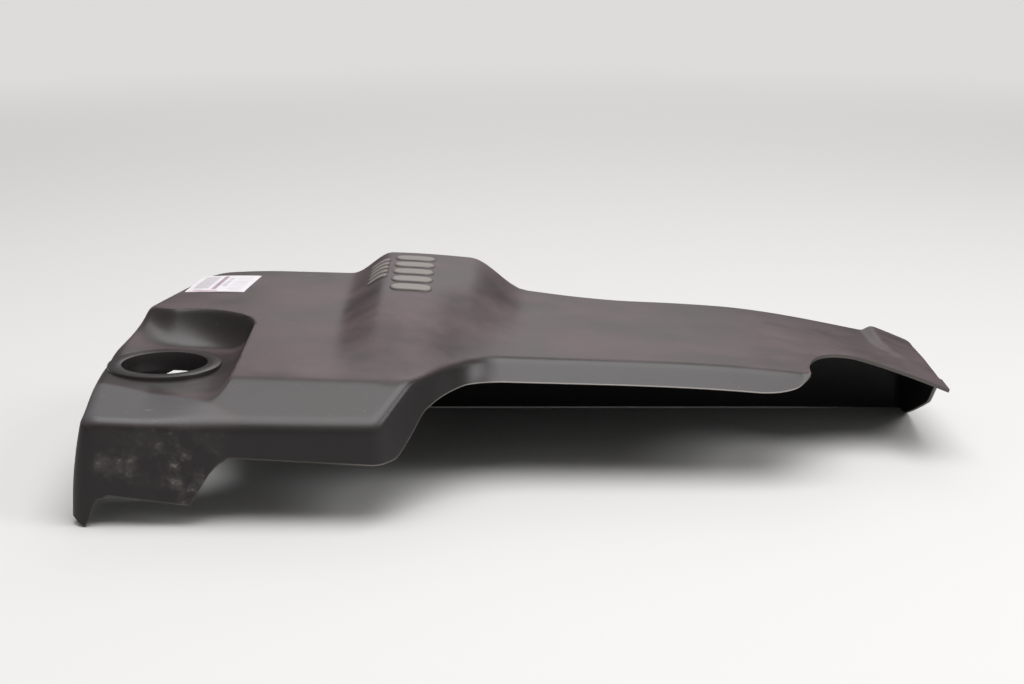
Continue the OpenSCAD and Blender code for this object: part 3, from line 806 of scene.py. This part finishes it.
def dust_and_sheen_film(g, finish, f, lying, facing_near, round_filler):
    """The dust on level faces with a painted sheen in its colour, taken away round the filler as painted
    shade on the pocket's floor and ring, a painted highlight band on the pocket's back wall, thin on faces
    towards the viewer, and a painted grey sheen on the shoulder's left end; gives the amount and the colour."""
    # painted highlight: a band of extra film on the lower part of the pocket's back wall, on steep faces too
    pocket_wall_highlight = g.spot((f.filler_x - 2, f.filler_y + 48, f.floor_h + 6), (60, 16, 12))
    cloud = g.noise(11.0, 5.0, 0.6).step(0.32, 0.72)
    mottle = g.noise(30.0, 6.0, 0.65, g.stretched(0.6, 1.0, 1.0)).step(0.30, 0.72)
    level = 0.25 + 0.6 * cloud + 0.55 * mottle
    # dust with painted sheen on level faces; round the filler it is taken away, which paints the pocket's
    # floor and ring darker as shade
    film = lying * level * (1 - 0.95 * round_filler) + 0.3 * pocket_wall_highlight
    film = film * (1 - 0.85 * facing_near) * finish.dust_and_sheen_amount
    # the painted grey sheen on the shoulder's left end, bounded by a slanted far edge and the pocket's end
    sheen_edge = (f.crease_y - 3 + SHEEN_EDGE_SLOPE * f.filler_x) / MM
    pocket_end = (f.pocket_x + f.pocket_rx) / MM
    front = (g.y + SHEEN_EDGE_SLOPE * g.x).step(sheen_edge + 0.003, sheen_edge - 0.003)
    front = front * g.x.step(pocket_end + 0.020, pocket_end - 0.025) * lying
    amount = film * (1 - front) + finish.front * front
    return amount, g.blend(finish.dust_and_sheen, finish.haze, front)


def wear_and_tip_highlight(g, finish, f):
    """The worn patches low on the near skirt, fine scratches above them, and a painted highlight at the far
    corner of the tongue's end.
    """
    skirt_y = f.block_y - f.near_lean
    # mottle for the worn patches and for the painted highlight at the tip
    wear_and_glint_noise = g.noise(190.0, 6.0, 0.75, g.stretched(0.8, 1.0, 1.1)).step(0.50, 0.72)
    haze = g.noise(55.0, 4.0, 0.6).step(0.42, 0.66)
    patches = (
        g.spot((f.filler_x + 29, skirt_y, 32), (20, 20, 24))
        + 0.5 * g.spot((f.filler_x + 22, skirt_y, 52), (16, 20, 22))
        + 0.9 * g.spot((f.filler_x - 19, skirt_y, 44), (19, 20, 13))
        + 0.25 * g.spot((f.filler_x + 15, skirt_y, 50), (60, 20, 35))
    )
    scratch = g.noise(1.0, 3.0, 0.6, g.stretched(60.0, 420.0, 420.0, (0.2, 0.3, 0.5))).step(0.66, 0.72)
    scratched = g.spot((f.filler_x - 5, f.crease_y - 21, 80), (45, 35, 30))
    # painted highlight at the far corner of the tongue's end, in the pale colour
    tip = g.spot((f.end_x - 10, f.far_y - 7, 52), (10, 12, 12)) * wear_and_glint_noise.most(0.5)
    worn = patches * (0.8 * wear_and_glint_noise + 0.2) * haze * finish.worn
    return (worn + 0.3 * scratch * scratched + 0.8 * tip).least(0.85)


def plastic_material(finish, f):
    """Charcoal moulded plastic: fine grain, a dust film with painted sheen on level faces, painted shade and
    a painted highlight band in the pocket, scuffs, painted highlights on the lip and the tip, an oily stain.
    """
    g = Graph("cover_plastic", 0.4, 0.5)
    facing = g.node("ShaderNodeNewGeometry", {}, {}, output=1)
    north, up = g.split(facing)[1:]
    up = up.most(0.0)
    facing_near = (0.0 - north).step(0.28, 0.5)
    # where the dust is taken away: painted shade on the pocket's floor and ring; it also makes the plastic
    # smoother there
    round_filler = g.spot((f.filler_x, f.filler_y - 10, f.floor_h + 3), (70, 72, 20))
    film, dust_and_sheen_tone = dust_and_sheen_film(g, finish, f, up.step(0.15, 0.8), facing_near, round_filler)
    cloud = g.noise(11.0, 5.0, 0.6)
    speck = g.noise(420.0, 1.0).step(0.70, 0.78) * up * cloud.step(0.4, 0.6)
    tone = g.blend(finish.plastic, dust_and_sheen_tone, (film + 0.35 * speck).least(0.9))
    # worn patches and scratches, with the painted highlight at the tip
    worn = wear_and_tip_highlight(g, finish, f)
    tone = g.blend(tone, finish.pale_wear_and_highlight, worn)
    oily = g.spot((f.pad_x0 - 26, f.far_y - 20, 115), (35, 22, 30))
    stain = oily * g.noise(60.0, 4.0).step(0.42, 0.56)
    tone = g.blend(tone, finish.stain, 0.8 * stain)
    # the pale share paints the highlight on the lower lip and the pale faces of the bars
    g.feed("Base Color", g.blend(tone, finish.pale_wear_and_highlight, 0.75 * g.attribute("pale")))
    rough = 0.36 + 0.10 * cloud + 0.22 * film + 0.2 * worn
    smoother = 0.12 * stain + 0.06 * facing_near + 0.10 * round_filler
    g.feed("Roughness", (rough - smoother).least(0.85))
    g.bump(g.noise(950.0, 3.0, 0.6) + 0.5 * worn, 0.22, 0.00022)
    return g.material


def paper_material(finish, form):
    """Paper label: pale sheet with a block of small squares, a band, fine ruled lines and a foot line."""
    g = Graph("label_paper", 0.55, 0.4)
    centre_x, centre_y = form.label_centre / MM
    dx, dy = g.x - centre_x, g.y - centre_y
    turn_c, turn_s = math.cos(LABEL_TURN), math.sin(LABEL_TURN)
    u = (dx * turn_c - dy * turn_s) / (form.label_w / MM) + 0.5
    v = (dx * turn_s + dy * turn_c) / (form.label_d / MM) + 0.5

    def between(value, low, high):
        """1 from low to high, with a soft edge."""
        soft = 0.008
        return value.step(low - soft, low + soft) * value.step(high + soft, high - soft)

    def field(u0, u1, v0, v1):
        """1 inside a rectangle of the label, in shares of its width and depth."""
        return between(u, u0, u1) * between(v, v0, v1)

    squares = (u * 24.0).fraction().step(0.35, 0.5) * (v * 16.0).fraction().step(0.35, 0.5)
    block = field(0.08, 0.33, 0.18, 0.92) * (0.25 + 0.6 * squares)
    band = field(0.40, 0.475, 0.14, 0.94)
    ruled = (v * 11.0).fraction().step(0.45, 0.62)
    dashes = ruled * (0.55 * field(0.53, 0.60, 0.32, 0.86) + 0.2 * field(0.66, 0.92, 0.12, 0.9))
    foot = field(0.12, 0.53, 0.04, 0.09)
    tone = g.blend(finish.paper, finish.print_grey, 0.75 * block)
    tone = g.blend(tone, finish.print_mauve, 0.7 * band)
    tone = g.blend(tone, finish.print_grey, dashes)
    tone = g.blend(tone, finish.print_red, 0.6 * foot)
    tone = g.blend(tone, finish.dust_and_sheen, 0.18 * g.noise(60.0, 4.0).step(0.5, 0.75))
    g.feed("Base Color", tone)
    return g.material


def rubber_material(finish):
    """Matt black rubber of the grommets."""
    g = Graph("grommet_rubber", 0.6, 0.35)
    g.feed("Base Color", g.blend(finish.rubber, finish.dust_and_sheen, 0.15 * g.noise(140.0, 3.0).step(0.5, 0.7)))
    return g.material


def floor_material(finish):
    """Pale paper floor, which fades into the backdrop's colour far from the cover, for camera rays only."""
    g = Graph("floor_paper", 0.9, 0.2)
    far = (g.x * g.x + g.y * g.y).step(0.5, 7.0)
    seen = g.node("ShaderNodeLightPath")
    g.feed("Base Color", g.blend([c * finish.bounce for c in finish.floor], finish.floor, seen))
    glow = g.node("ShaderNodeEmission", {}, {"Color": (*finish.backdrop, 1.0)})
    mixed = g.node("ShaderNodeMixShader", {}, {0: far * seen, 1: Value(g, g.shader.outputs[0]), 2: glow})
    g.tree.links.new(mixed.socket, g.tree.nodes["Material Output"].inputs["Surface"])
    return g.material


def place_piece(piece, node):
    """Sets a finished piece on the cover's body, in place of its CAD node."""
    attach(piece, "root")
    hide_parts(node)


def filler_ring(f):
    """The ring round the filler hole and the collar below it, as one revolved profile."""
    ring_top, r0, r1 = f.floor_h + f.ring_h, f.filler_r, f.filler_r + f.ring_w
    collar_low, under = ring_top - f.collar_h, f.floor_h - f.wall - 0.4
    bore = [(r0, collar_low + 0.4), (r0, ring_top - 0.5), (r0 + 0.15, ring_top - 0.15), (r0 + 0.5, ring_top)]
    rim = [(r1 - 0.9, ring_top), (r1 - 0.3, ring_top - 0.2), (r1, ring_top - 0.8), (r1, f.floor_h - 1.5)]
    below = [(r1 - 1.5, under), (r0 + f.wall + 0.6, under), (r0 + f.wall, under - 0.6)]
    collar = [(r0 + f.wall, collar_low + 0.4), (r0 + f.wall - 0.4, collar_low), (r0 + 0.4, collar_low)]
    points, quads = revolved(bore + rim + below + collar, (f.filler_x, f.filler_y), 128)
    return points, quads[:, ::-1]


def underside_ribs(f):
    """The stiffening ribs: three along the tongue and two across the block."""
    for y in (f.tongue_y + 45, f.tongue_y + 96, f.tongue_y + 140):
        yield rib(f, (f.tongue_x + 20, y), (f.arch_x - 8, y), f.rib_h)
    for y in (f.crease_y + 90, f.crease_y + 150):
        yield rib(f, (f.block_x - 86, y), (f.tongue_x - 10, y), f.rib_h)


def pad_bars(f):
    """A row of large plain bars on the pad's flat and one of small bars on its flank."""
    for k in range(BAR_COUNT):
        yield raised_bar(f, (f.pad_x0 + 52, f.crease_y + 130 + LARGE_PITCH * k), LARGE_BAR)
        yield raised_bar(f, (f.pad_x0 + 25, f.crease_y + 160 + SMALL_PITCH * k), SMALL_BAR)


class ENGINE_COVER_OT_moulding(bpy.types.Operator):
    """Builds the moulded cover with its ring, sockets, ribs and raised bars"""

    bl_idname = "engine_cover.moulding"
    bl_label = "Build Moulding"

    def execute(self, context):
        f = CoverForm(context.scene.engine_cover_sizes)
        parts = MeshParts()
        CoverSkin(f).add_to(parts, f.filler_r + 6)
        parts.add(*filler_ring(f))
        for name in GROMMETS:
            parts.add(*socket(f, name))
        for form in (*underside_ribs(f), *pad_bars(f)):
            parts.add(*form)
        piece = parts.build("cover_moulding", plastic_material(context.scene.engine_cover_finish, f))
        place_piece(piece, "cover")
        return {"FINISHED"}


class ENGINE_COVER_OT_label(bpy.types.Operator):
    """Lays the paper stock label on the plateau"""

    bl_idname = "engine_cover.label"
    bl_label = "Build Label"

    def execute(self, context):
        f = CoverForm(context.scene.engine_cover_sizes)
        parts = MeshParts()
        parts.add(*label_sheet(f))
        piece = parts.build("paper_label", paper_material(context.scene.engine_cover_finish, f), 60.0)
        place_piece(piece, "stock_label")
        return {"FINISHED"}


class ENGINE_COVER_OT_grommets(bpy.types.Operator):
    """Gives the grommets in the sockets their rubber"""

    bl_idname = "engine_cover.grommets"
    bl_label = "Finish Grommets"

    def execute(self, context):
        rubber = rubber_material(context.scene.engine_cover_finish)
        for name in GROMMETS:
            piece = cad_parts[name]
            piece.data.materials.clear()
            piece.data.materials.append(rubber)
        return {"FINISHED"}


def area_lamp(name, place, aim_z, size, power):
    """A soft square white lamp at a place, turned to height aim_z above the middle of the floor."""
    data = bpy.data.lights.new(name, "AREA")
    data.shape, data.size, data.energy = "SQUARE", size, power
    lamp = bpy.data.objects.new(name, data)
    bpy.context.scene.collection.objects.link(lamp)
    lamp.location = place
    lamp.rotation_euler = (Vector((0, 0, aim_z)) - Vector(place)).to_track_quat("-Z", "Y").to_euler()


def stage_floor(finish):
    """The floor: one large square at height 0."""
    mesh = bpy.data.meshes.new("stage_floor")
    corners = [(x * FLOOR_REACH, y * FLOOR_REACH, 0) for x, y in ((-1, -1), (1, -1), (1, 1), (-1, 1))]
    mesh.from_pydata(corners, [], [(0, 1, 2, 3)])
    mesh.materials.append(floor_material(finish))
    floor = bpy.data.objects.new("stage_floor", mesh)
    bpy.context.scene.collection.objects.link(floor)


def studio_world(finish):
    """An even backdrop: dim as light on the cover, dimmer in reflections and full for the camera."""
    world = bpy.data.worlds.new("studio")
    world.use_nodes = True
    tree = world.node_tree
    background = tree.nodes["Background"]
    background.inputs["Strength"].default_value = 1.0
    rays = tree.nodes.new("ShaderNodeLightPath")
    greys = finish.ambient, finish.reflected, 1.0
    ambient, *others = [[c * grey for c in finish.backdrop] + [1.0] for grey in greys]
    shown = None
    for output, tone in zip(("Is Glossy Ray", "Is Camera Ray"), others):
        blend = tree.nodes.new("ShaderNodeMix")
        blend.data_type = "RGBA"
        blend.inputs[6].default_value = ambient
        blend.inputs[7].default_value = tone
        tree.links.new(rays.outputs[output], blend.inputs[0])
        if shown:
            tree.links.new(shown, blend.inputs[6])
        shown = blend.outputs[2]
    tree.links.new(shown, background.inputs["Color"])
    return world


def photo_camera():
    """The camera, at the place that the photo's outline gives."""
    data = bpy.data.cameras.new("photo_camera")
    data.lens, data.sensor_width = CAMERA_LENS, CAMERA_SENSOR
    data.clip_start, data.clip_end = 0.05, 100.0
    camera = bpy.data.objects.new("photo_camera", data)
    bpy.context.scene.collection.objects.link(camera)
    camera.location = CAMERA_PLACE
    camera.rotation_euler = Euler((CAMERA_TILT, 0.0, 0.0))
    return camera


class ENGINE_COVER_OT_stage(bpy.types.Operator):
    """Sets the pale floor, the soft lamps, the world and the camera"""

    bl_idname = "engine_cover.stage"
    bl_label = "Build Stage"

    def execute(self, context):
        scene, finish = context.scene, context.scene.engine_cover_finish
        stage_floor(finish)
        area_lamp("top_lamp", (0.1, -0.45, 2.4), 0.05, 2.2, 68.0)
        area_lamp("key_lamp", (1.8, -0.6, 1.5), 0.05, 0.9, 15.0)
        area_lamp("back_lamp", (0.1, 2.2, 1.5), 0.08, 1.4, 9.0)
        scene.world = studio_world(finish)
        scene.camera = photo_camera()
        scene.view_settings.view_transform = "Standard"
        return {"FINISHED"}


class ENGINE_COVER_PT_panel(bpy.types.Panel):
    """Lists the cover's steps, sizes and finish"""

    bl_label = "Engine Cover"
    bl_idname = "ENGINE_COVER_PT_panel"
    bl_space_type = "VIEW_3D"
    bl_region_type = "UI"
    bl_category = "Engine Cover"

    def draw(self, context):
        for operator in OPERATORS:
            self.layout.operator(operator.bl_idname)
        for group in (context.scene.engine_cover_sizes, context.scene.engine_cover_finish):
            column = self.layout.column(align=True)
            for name in type(group).__annotations__:
                column.prop(group, name)


OPERATORS = (
    ENGINE_COVER_OT_moulding,
    ENGINE_COVER_OT_label,
    ENGINE_COVER_OT_grommets,
    ENGINE_COVER_OT_stage,
)
CLASSES = (EngineCoverSizes, EngineCoverFinish, *OPERATORS, ENGINE_COVER_PT_panel)


def register():
    """Registers the classes and hangs the two property groups on the scene."""
    for cls in CLASSES:
        bpy.utils.register_class(cls)
    bpy.types.Scene.engine_cover_sizes = bpy.props.PointerProperty(type=EngineCoverSizes)
    bpy.types.Scene.engine_cover_finish = bpy.props.PointerProperty(type=EngineCoverFinish)


def unregister():
    """Takes the property groups and the classes away again."""
    del bpy.types.Scene.engine_cover_finish
    del bpy.types.Scene.engine_cover_sizes
    for cls in reversed(CLASSES):
        bpy.utils.unregister_class(cls)


def main():
    register()
    bpy.ops.engine_cover.moulding()
    bpy.ops.engine_cover.label()
    bpy.ops.engine_cover.grommets()
    bpy.ops.engine_cover.stage()


if __name__ == "__main__":
    main()
